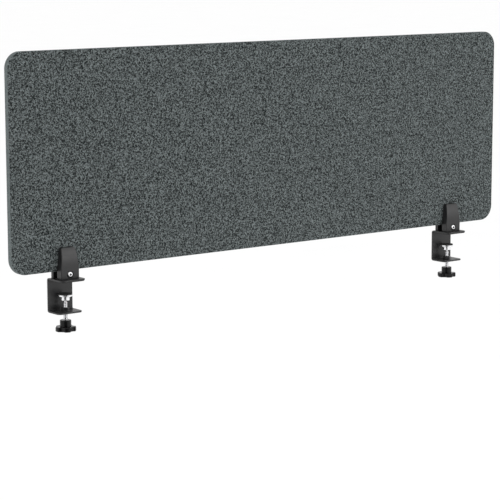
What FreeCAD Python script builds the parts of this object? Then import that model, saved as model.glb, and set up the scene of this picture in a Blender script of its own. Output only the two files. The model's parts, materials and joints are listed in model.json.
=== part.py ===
import FreeCAD, Part
import math
import os

import Sketcher

# Desk privacy panel: a felt board held upright along a desk edge by two
# screw clamps.  Millimetres.  Origin: on the desk surface, at the board's
# mid-width and mid-thickness.  +X runs along the desk edge, +Y points away
# from the sitter (out over the desk edge), +Z is up.

doc = FreeCAD.newDocument("desk_privacy_panel")
V = FreeCAD.Vector

# ---------------------------------------------------------------- sizes
# "rad" is a radius, "flats" a hexagon's width across flats.
SIZES = [
    # felt board
    ("panel_width", 1200.0),
    ("panel_height", 400.0),
    ("panel_thick", 12.0),
    ("panel_bottom", 18.2),
    ("panel_corner", 30.0),
    ("panel_edge", 1.0),
    # clamp positions along the board
    ("left_centre", -485.0),
    ("right_centre", 474.0),
    # bent steel bracket: plate_front and arm_front lie towards the sitter,
    # arm_top is the depth of the arm's upper face below the desk surface
    ("bracket_width", 53.0),
    ("sheet_thick", 3.0),
    ("bend_inner", 1.5),
    ("plate_under", 1.0),
    ("plate_front", 33.0),
    ("web_inner", 14.5),
    ("arm_top", 57.0),
    ("arm_front", 21.0),
    ("corner_round", 8.0),
    ("edge_break", 0.4),
    # rubber under the plate
    ("desk_pad_thick", 1.0),
    ("desk_pad_inset", 1.0),
    ("desk_pad_back", 12.0),
    # jaws: heights are above the desk, depths are from the board's mid-plane
    ("jaw_lift", 0.05),
    ("jaw_top", 61.5),
    ("jaw_base_width", 39.0),
    ("jaw_top_width", 30.0),
    ("jaw_block_top", 21.0),
    ("jaw_slope_from", 26.0),
    ("jaw_face", 6.4),
    ("front_jaw_base", 20.0),
    ("front_jaw_tip", 13.8),
    ("rear_jaw_base", 14.5),
    ("rear_jaw_tip", 11.6),
    ("jaw_corner_round", 3.0),
    ("jaw_edge_round", 1.2),
    ("recess_deep", 0.9),
    ("recess_low", 23.0),
    ("recess_high", 57.0),
    ("recess_wide", 24.0),
    ("jaw_pad_thick", 1.2),
    ("jaw_pad_gap", 0.1),
    # M6 jaw screw
    ("jaw_screw_height", 12.4),
    ("jaw_screw_rad", 3.0),
    ("jaw_screw_span", 34.2),
    ("jaw_screw_bevel", 0.8),
    ("jaw_head_rad", 5.25),
    ("jaw_head_tall", 3.3),
    ("jaw_socket_flats", 4.0),
    ("jaw_socket_deep", 2.1),
    ("spot_face_rad", 6.8),
    ("spot_face_at", 18.2),
    ("spot_face_cut", 6.0),
    ("jaw_clear_rad", 3.2),
    ("run_clear", 0.05),
    ("sleeve_rad", 5.7),
    ("sleeve_half", 5.9),
    # M4 countersunk screws that hold the rear jaw
    ("fix_pitch_half", 12.0),
    ("fix_row", 10.4),
    ("fix_rad", 2.0),
    ("fix_head_rad", 4.0),
    ("fix_head_tall", 2.2),
    ("fix_span", 10.0),
    ("fix_bevel", 0.6),
    ("fix_hole_clear", 0.1),
    ("fix_tap_past_tip", 1.0),
    ("fix_socket_flats", 2.5),
    ("fix_socket_deep", 1.4),
    # M8 clamp screw and its weld nut; _at, _end and ball_centre are depths
    ("screw_row", 1.5),
    ("clamp_rad", 4.0),
    ("clamp_end_bevel", 0.8),
    ("shoulder_bevel", 1.0),
    ("arm_hole_rad", 4.5),
    ("nut_flats", 13.0),
    ("nut_tall", 6.5),
    ("nut_bevel_inset", 0.2),
    ("nut_bevel_reach", 2.0),
    ("nut_bevel_drop", 1.27),
    ("ball_centre", 34.5),
    ("ball_rad", 3.2),
    ("neck_rad", 2.1),
    ("shoulder_at", 40.5),
    ("screw_end", 91.5),
    # ball seat: top and bottom are measured from the ball's centre
    ("seat_rad", 5.5),
    ("seat_top", 4.2),
    ("seat_bottom", 3.6),
    ("seat_mouth_rad", 2.8),
    # swivel pad: depths below the desk surface, but pad_mouth is measured
    # from the ball's centre
    ("pad_rad", 13.0),
    ("pad_disc_low", 30.0),
    ("pad_disc_high", 27.0),
    ("pad_boss_rad", 8.0),
    ("pad_bevel", 0.5),
    ("pad_mouth", 3.0),
    ("pad_face", 25.0),
    ("grip_rad", 12.5),
    # star knob: top and low are depths below the desk surface
    ("hub_top", 74.0),
    ("hub_rad", 10.5),
    ("hub_round", 1.0),
    ("hub_sink", 1.0),
    ("star_top", 86.0),
    ("star_low", 94.8),
    ("star_rad", 19.3),
    ("scallop_rad", 8.0),
    ("scallop_at", 23.6),
    ("star_round", 2.2),
    ("star_rim_round", 1.8),
    ("lobe_angle", -38.2),
]
LOBES = 5
# Button head profile: (fraction of head height, fraction of head radius)
BUTTON_HEAD = [(1.0, 0.56), (0.93, 0.68), (0.78, 0.82), (0.52, 0.94), (0.22, 1.0)]

OVERCUT = 1.0       # how far a cut runs past the solid
HALF_OVERCUT = 0.5  # the same, for the small turned cuts
NEAR = 1e-3         # tolerance for picking edges by place
MARGIN = 1.0        # distance that keeps an edge choice clear of a face
FRONT_ZONE = -10.0  # edges with a lower y belong to the bracket's front ends

sheet = doc.addObject("Spreadsheet::Sheet", "Sizes")
for row, (alias, amount) in enumerate(SIZES, start=1):
    sheet.set("A%d" % row, alias)
    sheet.set("B%d" % row, repr(amount))
    sheet.setAlias("B%d" % row, alias)
doc.recompute()


class Size:
    """A number together with the sheet expression that drives it."""

    def __init__(self, value, text):
        self.value = float(value)
        self.text = text

    @staticmethod
    def of(other):
        if isinstance(other, Size):
            return other
        return Size(other, "%.6f" % other if other >= 0 else "(%.6f)" % other)

    def __add__(self, other):
        o = Size.of(other)
        return Size(self.value + o.value, "(%s + %s)" % (self.text, o.text))

    __radd__ = __add__

    def __sub__(self, other):
        o = Size.of(other)
        return Size(self.value - o.value, "(%s - %s)" % (self.text, o.text))

    def __rsub__(self, other):
        return Size.of(other) - self

    def __mul__(self, other):
        o = Size.of(other)
        return Size(self.value * o.value, "(%s * %s)" % (self.text, o.text))

    __rmul__ = __mul__

    def __truediv__(self, other):
        o = Size.of(other)
        return Size(self.value / o.value, "(%s / %s)" % (self.text, o.text))

    def __neg__(self):
        return Size(-self.value, "(0 - %s)" % self.text)


def leg(long_side, short_side):
    """Third side of a right triangle, from its longest side and another."""
    a, b = long_side, short_side
    return Size(
        math.sqrt(a.value ** 2 - b.value ** 2),
        "sqrt(%s * %s - %s * %s)" % (a.text, a.text, b.text, b.text),
    )


class Dimensions:
    """The sheet's sizes as attributes."""

    def __init__(self, table):
        for name, value in table:
            setattr(self, name, Size(value, "Sizes." + name))


dim = Dimensions(SIZES)
PLATE_TOP = dim.plate_under + dim.sheet_thick
WEB_OUTER = dim.web_inner + dim.sheet_thick
ARM_BOTTOM = -(dim.arm_top + dim.sheet_thick)
PAD_SURFACE = dim.jaw_face + dim.recess_deep - dim.jaw_pad_thick
# Sketch offsets, in the axes of the plane that each sketch lies on
CLAMP_AXIS = (-dim.screw_row, 0, 0)                    # on YZ
BALL_SPOT = (-dim.screw_row, -dim.ball_centre, 0)      # on YZ
FIX_SPOT = (dim.fix_row, 0, dim.fix_pitch_half)        # on YZ


def on_clamp_axis(height):
    """Offset on XY: a sketch centred on the clamp screw at this height."""
    return (0, -dim.screw_row, height)


def on_jaw_screw(forward=0):
    """Offset on XZ: a sketch centred on the jaw screw, moved towards -Y."""
    return (0, dim.jaw_screw_height, forward)


def bind(obj, prop, size):
    if isinstance(size, Size):
        obj.setExpression(prop, size.text)


def number(size):
    return size.value if isinstance(size, Size) else float(size)


def point(u, w):
    return V(number(u), number(w), 0)


# ---------------------------------------------------------------- sketches
def constrain(sketch, size, kind, *where):
    """Add a dimension to the sketch and bind it to its size."""
    index = sketch.addConstraint(Sketcher.Constraint(kind, *where, number(size)))
    bind(sketch, "Constraints[%d]" % index, size)


def pin_point(sketch, geo, pos, u, w):
    """Fix a sketch point at coordinates (u, w) measured from the sketch origin."""
    for kind, size, axis in (("DistanceX", u, -2), ("DistanceY", w, -1)):
        if abs(number(size)) < 1e-9:
            sketch.addConstraint(Sketcher.Constraint("PointOnObject", geo, pos, axis))
        else:
            constrain(sketch, size, kind, -1, 1, geo, pos)


def join(sketch, geo, pos, next_geo, next_pos):
    sketch.addConstraint(Sketcher.Constraint("Coincident", geo, pos, next_geo, next_pos))


def add_arc(sketch, centre, rad, start, end):
    ring = Part.Circle(centre, V(0, 0, 1), rad)
    return sketch.addGeometry(Part.ArcOfCircle(ring, start, end))


def polygon(sketch, points):
    first = sketch.GeometryCount
    count = len(points)
    for i in range(count):
        ends = point(*points[i]), point(*points[(i + 1) % count])
        sketch.addGeometry(Part.LineSegment(*ends))
    for i in range(count):
        join(sketch, first + i, 2, first + (i + 1) % count, 1)
    for i, (u, w) in enumerate(points):
        pin_point(sketch, first + i, 1, u, w)


def rectangle(sketch, half_width, low, high):
    """Rectangle centred across the sketch's vertical axis."""
    polygon(
        sketch,
        [(-half_width, low), (half_width, low), (half_width, high), (-half_width, high)],
    )


def hexagon(sketch, flats, u=0, w=0):
    """Hexagon with two flats parallel to the sketch's vertical axis."""
    half = flats / 2
    arm = flats / math.sqrt(3.0)
    polygon(
        sketch,
        [
            (u + half, w + arm / 2),
            (u, w + arm),
            (u - half, w + arm / 2),
            (u - half, w - arm / 2),
            (u, w - arm),
            (u + half, w - arm / 2),
        ],
    )


def circle(sketch, rad, u=0, w=0):
    geo = sketch.addGeometry(Part.Circle(point(u, w), V(0, 0, 1), number(rad)))
    constrain(sketch, rad, "Radius", geo)
    pin_point(sketch, geo, 3, u, w)


def ball_profile(sketch, rad, low, high, tail):
    """Closed half profile, about the sketch's vertical axis: an arc of radius
    rad centred on the origin between heights low and high, then the tail
    points back to the start."""
    radius = rad.value
    start_angle = math.asin(low.value / radius)
    end_angle = math.asin(high.value / radius)
    arc = add_arc(sketch, V(0, 0, 0), radius, start_angle, end_angle)
    join(sketch, arc, 3, -1, 1)
    constrain(sketch, rad, "Radius", arc)
    start = V(radius * math.cos(start_angle), low.value, 0)
    end = V(radius * math.cos(end_angle), high.value, 0)
    chain = [end] + [point(u, w) for u, w in tail] + [start]
    lines = [
        sketch.addGeometry(Part.LineSegment(a, b)) for a, b in zip(chain[:-1], chain[1:])
    ]
    join(sketch, arc, 2, lines[0], 1)
    for line, following in zip(lines[:-1], lines[1:]):
        join(sketch, line, 2, following, 1)
    join(sketch, lines[-1], 2, arc, 1)
    for line, (u, w) in zip(lines[1:], tail):
        pin_point(sketch, line, 1, u, w)
    constrain(sketch, low, "DistanceY", -1, 1, arc, 1)
    if abs(high.value) >= radius - 1e-6:
        # the arc ends at its pole, where a height would not hold it sideways
        sketch.addConstraint(Sketcher.Constraint("PointOnObject", arc, 2, -2))
    else:
        constrain(sketch, high, "DistanceY", -1, 1, arc, 2)


def bowed_side(sketch, sign, base, rad, low, high, far):
    """Closed profile of the space outside a bowed face: an arc of radius rad
    that stands upright at (sign * base, low) and leans towards the axis up to
    the height high, closed by three straight lines at distance far."""
    radius = rad.value
    turn = math.asin((high.value - low.value) / radius)
    centre_u = sign * (base.value - radius)
    start, end = (0.0, turn) if sign > 0 else (math.pi - turn, math.pi)
    arc = add_arc(sketch, V(centre_u, low.value, 0), radius, start, end)
    foot_end, top_end = (1, 2) if sign > 0 else (2, 1)
    constrain(sketch, rad, "Radius", arc)
    pin_point(sketch, arc, 3, sign * (base - rad), low)
    foot = point(sign * base, low)
    top = V(centre_u + sign * radius * math.cos(turn), high.value, 0)
    outer_top = point(sign * far, high)
    outer_low = point(sign * far, low)
    top_line = sketch.addGeometry(Part.LineSegment(top, outer_top))
    far_line = sketch.addGeometry(Part.LineSegment(outer_top, outer_low))
    low_line = sketch.addGeometry(Part.LineSegment(outer_low, foot))
    join(sketch, arc, top_end, top_line, 1)
    join(sketch, top_line, 2, far_line, 1)
    join(sketch, far_line, 2, low_line, 1)
    join(sketch, low_line, 2, arc, foot_end)
    pin_point(sketch, far_line, 1, sign * far, high)
    pin_point(sketch, low_line, 1, sign * far, low)
    constrain(sketch, low, "DistanceY", -1, 1, arc, foot_end)
    constrain(sketch, high, "DistanceY", -1, 1, arc, top_end)


# ---------------------------------------------------------------- edge choice
def along(edge, axis):
    """True for a straight edge parallel to the axis "x", "y" or "z"."""
    if not isinstance(edge.Curve, Part.Line) or len(edge.Vertexes) < 2:
        return False
    step = edge.Vertexes[1].Point - edge.Vertexes[0].Point
    return step.Length > 1e-9 and abs(getattr(step, axis)) > 0.99 * step.Length


def middle(edge):
    return edge.BoundBox.Center


def near(a, b):
    return abs(a - b) < NEAR


def level(edge):
    return edge.BoundBox.ZLength < NEAR


def front_upright(edge):
    return along(edge, "z") and middle(edge).y < FRONT_ZONE


# ---------------------------------------------------------------- bodies
class Piece:
    """One body.  Feature names start with the same prefix as its label."""

    def __init__(self, name, prefix="", centre=None):
        self.prefix = prefix
        self.body = doc.addObject("PartDesign::Body", prefix + name)
        self.body.Label = prefix + name
        self.body.AllowCompound = True
        if centre is not None:
            self.body.Placement = FreeCAD.Placement(
                V(centre.value, 0, 0), FreeCAD.Rotation()
            )
            bind(self.body, "Placement.Base.x", centre)

    def add(self, kind, name):
        return self.body.newObject(kind, self.prefix + name)

    def plane(self, role):
        features = self.body.Origin.OriginFeatures
        return next(f for f in features if f.Role == role + "_Plane")

    def sketch(self, name, role, shift=(0, 0, 0)):
        """Sketch on the "XY", "XZ" (normal -Y) or "YZ" plane, moved by shift
        in the plane's own axes."""
        sketch = self.add("Sketcher::SketchObject", name)
        sketch.AttachmentSupport = [(self.plane(role), "")]
        sketch.MapMode = "FlatFace"
        sketch.AttachmentOffset = FreeCAD.Placement(
            V(*[number(size) for size in shift]), FreeCAD.Rotation()
        )
        for axis, size in zip("xyz", shift):
            bind(sketch, "AttachmentOffset.Base." + axis, size)
        return sketch

    def extrude(self, kind, sketch, length, name, reverse, midplane):
        feature = self.add("PartDesign::" + kind, name)
        feature.Profile = sketch
        feature.Length = number(length)
        bind(feature, "Length", length)
        feature.Reversed = reverse
        if midplane:
            # the property's name depends on the FreeCAD release
            if hasattr(feature, "SideType"):
                feature.SideType = "Symmetric"
            else:
                feature.Midplane = True
        doc.recompute()
        return feature

    def turn(self, kind, sketch, name, axis):
        feature = self.add("PartDesign::" + kind, name)
        feature.Profile = sketch
        feature.ReferenceAxis = (sketch, [axis])
        feature.Angle = 360.0
        doc.recompute()
        return feature

    def require_cut(self, before, name):
        """A cut that points away from the solid removes nothing."""
        if self.body.Shape.Volume > before - 1e-6:
            raise RuntimeError("%s cut nothing" % name)

    def pad(self, sketch, length, name, reverse=False, midplane=False):
        """Pad along the sketch's normal, or against it if reversed."""
        return self.extrude("Pad", sketch, length, name, reverse, midplane)

    def pocket(self, sketch, length, name, reverse=False, midplane=False):
        """Cut against the sketch's normal, or along it if reversed."""
        before = self.body.Shape.Volume
        feature = self.extrude("Pocket", sketch, length, name, reverse, midplane)
        self.require_cut(before, name)
        return feature

    def revolve(self, sketch, name, axis="V_Axis"):
        return self.turn("Revolution", sketch, name, axis)

    def groove(self, sketch, name):
        before = self.body.Shape.Volume
        feature = self.turn("Groove", sketch, name, "V_Axis")
        self.require_cut(before, name)
        return feature

    def mirror(self, originals, name):
        """Repeat features on the other side of the body's YZ plane."""
        feature = self.add("PartDesign::Mirrored", name)
        feature.Originals = originals
        feature.MirrorPlane = (self.plane("YZ"), [""])
        self.body.Tip = feature
        doc.recompute()

    def fillet(self, radius, name, test):
        """Fillet the tip's edges that pass the test."""
        tip = self.body.Tip
        edges = enumerate(tip.Shape.Edges, start=1)
        names = ["Edge%d" % i for i, edge in edges if test(edge)]
        if not names:
            raise RuntimeError("no edges for " + name)
        feature = self.add("PartDesign::Fillet", name)
        feature.Base = (tip, names)
        feature.Radius = number(radius)
        bind(feature, "Radius", radius)
        doc.recompute()


# ---------------------------------------------------------------- felt board
def acoustic_panel():
    """One pressed felt sheet with four rounded corners and softened rims."""
    piece = Piece("acoustic_panel")
    outline = piece.sketch("board_outline", "XZ", (0, 0, -dim.panel_thick / 2))
    top = dim.panel_bottom + dim.panel_height
    rectangle(outline, dim.panel_width / 2, dim.panel_bottom, top)
    piece.pad(outline, dim.panel_thick, "board")
    piece.fillet(dim.panel_corner, "board_corners", lambda edge: along(edge, "y"))
    face = dim.panel_thick.value / 2
    piece.fillet(
        dim.panel_edge,
        "board_rim",
        lambda edge: near(abs(middle(edge).y), face) and edge.BoundBox.YLength < NEAR,
    )
    return piece


# ---------------------------------------------------------------- bracket
def deburr_bracket(piece):
    """Round the strip's outline on both faces."""
    side = dim.bracket_width.value / 2
    side_faces = [
        face
        for face in piece.body.Tip.Shape.Faces
        if near(abs(face.BoundBox.Center.x), side) and face.BoundBox.XLength < NEAR
    ]
    side_edges = [edge.hashCode() for face in side_faces for edge in face.Edges]
    ends = (-dim.plate_front.value, -dim.arm_front.value)

    def on_outline(edge):
        if edge.hashCode() in side_edges:
            return True
        if along(edge, "x"):
            return any(near(middle(edge).y, y) for y in ends)
        curved = not isinstance(edge.Curve, Part.Line)
        return curved and level(edge) and middle(edge).y < FRONT_ZONE

    piece.fillet(dim.edge_break, "bracket_deburr", on_outline)


def clamp_bracket(start):
    """One strip of steel bent into a C: plate on top, web outside the desk
    edge, arm under the desk."""
    piece = start("clamp_bracket")
    profile = piece.sketch("bracket_profile", "YZ")
    polygon(
        profile,
        [
            (-dim.plate_front, dim.plate_under),
            (dim.web_inner, dim.plate_under),
            (dim.web_inner, -dim.arm_top),
            (-dim.arm_front, -dim.arm_top),
            (-dim.arm_front, ARM_BOTTOM),
            (WEB_OUTER, ARM_BOTTOM),
            (WEB_OUTER, PLATE_TOP),
            (-dim.plate_front, PLATE_TOP),
        ],
    )
    piece.pad(profile, dim.bracket_width, "bracket_strip", midplane=True)
    for name, radius, y in (
        ("bend_inside", dim.bend_inner, dim.web_inner.value),
        ("bend_outside", dim.bend_inner + dim.sheet_thick, WEB_OUTER.value),
    ):
        piece.fillet(
            radius, name, lambda edge: along(edge, "x") and near(middle(edge).y, y)
        )
    piece.fillet(dim.corner_round, "bracket_corners", front_upright)
    deburr_bracket(piece)

    hole = piece.sketch("arm_hole_sketch", "XY", (0, 0, ARM_BOTTOM - OVERCUT))
    circle(hole, dim.arm_hole_rad, 0, -dim.screw_row)
    piece.pocket(hole, dim.sheet_thick + 2 * OVERCUT, "arm_hole", reverse=True)

    # countersunk holes for the two rear jaw screws
    countersink = piece.sketch("fix_hole_sketch", "YZ", FIX_SPOT)
    low = dim.plate_under
    head = dim.fix_head_rad + dim.fix_hole_clear
    shank = dim.fix_rad + dim.fix_hole_clear
    polygon(
        countersink,
        [
            (0, low - HALF_OVERCUT),
            (head, low - HALF_OVERCUT),
            (head, low),
            (shank, low + dim.fix_head_tall),
            (shank, PLATE_TOP + HALF_OVERCUT),
            (0, PLATE_TOP + HALF_OVERCUT),
        ],
    )
    piece.mirror([piece.groove(countersink, "fix_hole")], "fix_holes")


def desk_pad(start):
    """Rubber under the plate."""
    piece = start("desk_pad")
    outline = piece.sketch("desk_pad_outline", "XY")
    rectangle(
        outline,
        dim.bracket_width / 2 - dim.desk_pad_inset,
        -(dim.plate_front - dim.desk_pad_inset),
        dim.desk_pad_back,
    )
    piece.pad(outline, dim.desk_pad_thick, "desk_pad_sheet")
    radius = dim.corner_round - dim.desk_pad_inset
    piece.fillet(radius, "desk_pad_corners", front_upright)


# ---------------------------------------------------------------- jaws
# sign is -1 for the front jaw (towards the sitter) and +1 for the rear jaw.
def jaw(start, name, sign, base, tip, foot):
    """A straight block at the foot, then a wedge that gets narrower and
    thinner towards the top."""
    piece = start(name)
    face_shift = (0, 0, -sign * dim.jaw_face)
    front_view = piece.sketch(name + "_front_view", "XZ", face_shift)
    half_base = dim.jaw_base_width / 2
    half_top = dim.jaw_top_width / 2
    polygon(
        front_view,
        [
            (-half_base, foot),
            (half_base, foot),
            (half_base, dim.jaw_block_top),
            (half_top, dim.jaw_top),
            (-half_top, dim.jaw_top),
            (-half_base, dim.jaw_block_top),
        ],
    )
    piece.pad(front_view, base - dim.jaw_face, name + "_block", reverse=sign > 0)

    # the outer face leans back in one long curve that leaves the block's
    # flat face smoothly
    slope_view = piece.sketch(name + "_slope_view", "YZ")
    rise = dim.jaw_top - dim.jaw_slope_from
    depth = base - tip
    bow = (rise * rise + depth * depth) / (depth * 2)
    bowed_side(
        slope_view,
        sign,
        base,
        bow,
        low=dim.jaw_slope_from,
        high=dim.jaw_top + 2 * OVERCUT,
        far=base + 2 * OVERCUT,
    )
    width = dim.jaw_base_width + 4 * OVERCUT
    piece.pocket(slope_view, width, name + "_slope", midplane=True)

    top_z = dim.jaw_top.value
    piece.fillet(
        dim.jaw_corner_round,
        name + "_corners",
        lambda edge: along(edge, "y") and near(middle(edge).z, top_z),
    )

    def on_outer_rim(edge):
        """The outer face's rim, without its foot and the creases in the faces."""
        spot = middle(edge)
        crease = along(edge, "x") and spot.z < top_z - MARGIN
        return (
            sign * spot.y > dim.jaw_face.value + MARGIN
            and spot.z > foot.value + MARGIN
            and not along(edge, "y")
            and not crease
        )

    piece.fillet(dim.jaw_edge_round, name + "_rim", on_outer_rim)

    # recess for the grip pad, cut into the jaw from its inner face
    recess = piece.sketch(name + "_recess_view", "XZ", face_shift)
    rectangle(recess, dim.recess_wide / 2, dim.recess_low, dim.recess_high)
    piece.pocket(recess, dim.recess_deep, name + "_recess", reverse=sign < 0)
    return piece


def front_jaw(start):
    """The loose jaw, with a clearance bore and a spot face for the head."""
    foot = PLATE_TOP + dim.jaw_lift
    piece = jaw(start, "front_jaw", -1, dim.front_jaw_base, dim.front_jaw_tip, foot)
    bore = piece.sketch("front_jaw_bore_view", "XZ", on_jaw_screw())
    circle(bore, dim.jaw_clear_rad)
    length = dim.front_jaw_base + 2 * OVERCUT
    piece.pocket(bore, length, "front_jaw_bore", reverse=True)
    spot = piece.sketch("front_jaw_spot_view", "XZ", on_jaw_screw(dim.spot_face_at))
    circle(spot, dim.spot_face_rad)
    piece.pocket(spot, dim.spot_face_cut, "front_jaw_spot_face", reverse=True)


def rear_jaw(start):
    """The jaw fixed to the plate, with the jaw screw's thread."""
    piece = jaw(start, "rear_jaw", 1, dim.rear_jaw_base, dim.rear_jaw_tip, PLATE_TOP)
    bore = piece.sketch("rear_jaw_bore_view", "XZ", on_jaw_screw())
    circle(bore, dim.jaw_screw_rad + dim.run_clear)
    piece.pocket(bore, dim.rear_jaw_base + 2 * OVERCUT, "rear_jaw_thread")
    taps = piece.sketch("rear_jaw_tap_view", "XY", (0, 0, PLATE_TOP - OVERCUT))
    for x in (dim.fix_pitch_half, -dim.fix_pitch_half):
        circle(taps, dim.fix_rad, x, dim.fix_row)
    length = dim.fix_span - dim.sheet_thick + dim.fix_tap_past_tip + OVERCUT
    piece.pocket(taps, length, "rear_jaw_taps", reverse=True)


def jaw_pad(start, name, sign):
    """Grip pad glued into a jaw recess."""
    piece = start(name)
    outline = piece.sketch(name + "_outline", "XZ", (0, 0, -sign * PAD_SURFACE))
    rectangle(
        outline,
        dim.recess_wide / 2 - dim.jaw_pad_gap,
        dim.recess_low + dim.jaw_pad_gap,
        dim.recess_high - dim.jaw_pad_gap,
    )
    piece.pad(outline, dim.jaw_pad_thick, name + "_sheet", reverse=sign > 0)


# ---------------------------------------------------------------- jaw hardware
def jaw_fixing_screws(start):
    """Two countersunk screws, up through the plate into the rear jaw."""
    piece = start("jaw_fixing_screws")
    profile = piece.sketch("fix_profile", "YZ", FIX_SPOT)
    low = dim.plate_under
    tip = low + dim.fix_span
    polygon(
        profile,
        [
            (0, low),
            (dim.fix_head_rad, low),
            (dim.fix_rad, low + dim.fix_head_tall),
            (dim.fix_rad, tip - dim.fix_bevel),
            (dim.fix_rad - dim.fix_bevel, tip),
            (0, tip),
        ],
    )
    screw = piece.revolve(profile, "fix_screw")
    view = piece.sketch("fix_socket_view", "XY", (0, 0, low))
    hexagon(view, dim.fix_socket_flats, dim.fix_pitch_half, dim.fix_row)
    socket = piece.pocket(view, dim.fix_socket_deep, "fix_socket", reverse=True)
    piece.mirror([screw, socket], "fix_screw_pair")


def support_sleeve(start):
    """Sleeve on the jaw screw, between the jaws: the board's lower edge sits
    on it."""
    piece = start("support_sleeve")
    ring = piece.sketch("sleeve_ring", "XZ", on_jaw_screw(-dim.sleeve_half))
    circle(ring, dim.sleeve_rad)
    circle(ring, dim.jaw_screw_rad + dim.run_clear)
    piece.pad(ring, dim.sleeve_half * 2, "sleeve_tube")


def jaw_screw(start):
    """M6 button-head screw, head towards the sitter."""
    piece = start("jaw_screw")
    under_head = dim.spot_face_at
    tall = dim.jaw_head_tall
    end = dim.jaw_screw_span - under_head
    shank, bevel = dim.jaw_screw_rad, dim.jaw_screw_bevel
    profile = piece.sketch("jaw_screw_profile", "YZ", (0, dim.jaw_screw_height, 0))
    dome = [
        (-(under_head + tall * height), dim.jaw_head_rad * reach)
        for height, reach in BUTTON_HEAD
    ]
    polygon(
        profile,
        [(-(under_head + tall), 0)]
        + dome
        + [
            (-under_head, dim.jaw_head_rad),
            (-under_head, shank),
            (end - bevel, shank),
            (end, shank - bevel),
            (end, 0),
        ],
    )
    piece.revolve(profile, "jaw_screw_turned", axis="H_Axis")
    socket = piece.sketch("jaw_socket_view", "XZ", on_jaw_screw(under_head + tall))
    hexagon(socket, dim.jaw_socket_flats)
    piece.pocket(socket, dim.jaw_socket_deep, "jaw_socket")


# ---------------------------------------------------------------- clamp screw
def weld_nut(start):
    """Weld nut on the arm, with bevelled corners on the upper side."""
    piece = start("weld_nut")
    outline = piece.sketch("nut_outline", "XY", on_clamp_axis(-dim.arm_top))
    hexagon(outline, dim.nut_flats)
    piece.pad(outline, dim.nut_tall, "nut_block")
    bore = piece.sketch("nut_bore_view", "XY", on_clamp_axis(-dim.arm_top))
    circle(bore, dim.clamp_rad + dim.run_clear)
    piece.pocket(bore, dim.nut_tall + OVERCUT, "nut_bore", reverse=True)
    bevel = piece.sketch("nut_bevel_view", "YZ", CLAMP_AXIS)
    top = dim.nut_tall - dim.arm_top
    inner = dim.nut_flats / 2 - dim.nut_bevel_inset
    outer = dim.nut_flats / 2 + dim.nut_bevel_reach
    polygon(
        bevel,
        [
            (inner, top + HALF_OVERCUT),
            (inner, top),
            (outer, top - dim.nut_bevel_drop),
            (outer, top + HALF_OVERCUT),
        ],
    )
    piece.groove(bevel, "nut_bevel")


def ball_seat(start):
    """Nylon ball seat: holds the screw's ball; the pad rocks on its outside."""
    piece = start("ball_seat")
    low = -dim.seat_bottom
    outside = piece.sketch("seat_outside", "YZ", BALL_SPOT)
    tail = [(0, dim.seat_top), (0, low)]
    ball_profile(outside, dim.seat_rad, low, dim.seat_top, tail)
    piece.revolve(outside, "seat_ball")
    inside = piece.sketch("seat_inside", "YZ", BALL_SPOT)
    cavity = dim.ball_rad + dim.run_clear
    tail = [(0, low - OVERCUT), (dim.seat_mouth_rad, low - OVERCUT)]
    ball_profile(inside, cavity, -leg(cavity, dim.seat_mouth_rad), cavity, tail)
    piece.groove(inside, "seat_cavity")


def pressure_pad(start):
    """Swivel pad: disc with a socket boss below."""
    piece = start("pressure_pad")
    profile = piece.sketch("pad_profile", "YZ", CLAMP_AXIS)
    boss_low = -(dim.ball_centre + dim.pad_mouth)
    bevel = dim.pad_bevel
    polygon(
        profile,
        [
            (0, boss_low),
            (dim.pad_boss_rad - bevel, boss_low),
            (dim.pad_boss_rad, boss_low + bevel),
            (dim.pad_boss_rad, -dim.pad_disc_low),
            (dim.pad_rad - bevel, -dim.pad_disc_low),
            (dim.pad_rad, -dim.pad_disc_low + bevel),
            (dim.pad_rad, -dim.pad_disc_high),
            (0, -dim.pad_disc_high),
        ],
    )
    piece.revolve(profile, "pad_turned")
    inside = piece.sketch("pad_socket_profile", "YZ", BALL_SPOT)
    socket = dim.seat_rad + dim.run_clear
    low = -dim.pad_mouth
    tail = [(0, low - OVERCUT), (leg(socket, dim.pad_mouth), low - OVERCUT)]
    ball_profile(inside, socket, low, socket, tail)
    piece.groove(inside, "pad_socket")


def pressure_pad_rubber(start):
    """Rubber disc on top of the swivel pad."""
    piece = start("pressure_pad_rubber")
    outline = piece.sketch("grip_disc_outline", "XY", on_clamp_axis(-dim.pad_disc_high))
    circle(outline, dim.grip_rad)
    piece.pad(outline, dim.pad_disc_high - dim.pad_face, "grip_disc")


def clamp_screw(start):
    """M8 clamp screw with a ball end above and a plain end in the knob."""
    piece = start("clamp_screw")
    profile = piece.sketch("clamp_screw_profile", "YZ", BALL_SPOT)
    shoulder = dim.ball_centre - dim.shoulder_at
    end = dim.ball_centre - dim.screw_end
    tail = [
        (0, end),
        (dim.clamp_rad - dim.clamp_end_bevel, end),
        (dim.clamp_rad, end + dim.clamp_end_bevel),
        (dim.clamp_rad, shoulder - dim.shoulder_bevel),
        (dim.clamp_rad - dim.shoulder_bevel, shoulder),
        (dim.neck_rad, shoulder),
    ]
    neck_top = -leg(dim.ball_rad, dim.neck_rad)
    ball_profile(profile, dim.ball_rad, neck_top, dim.ball_rad, tail)
    piece.revolve(profile, "clamp_screw_turned")


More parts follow.
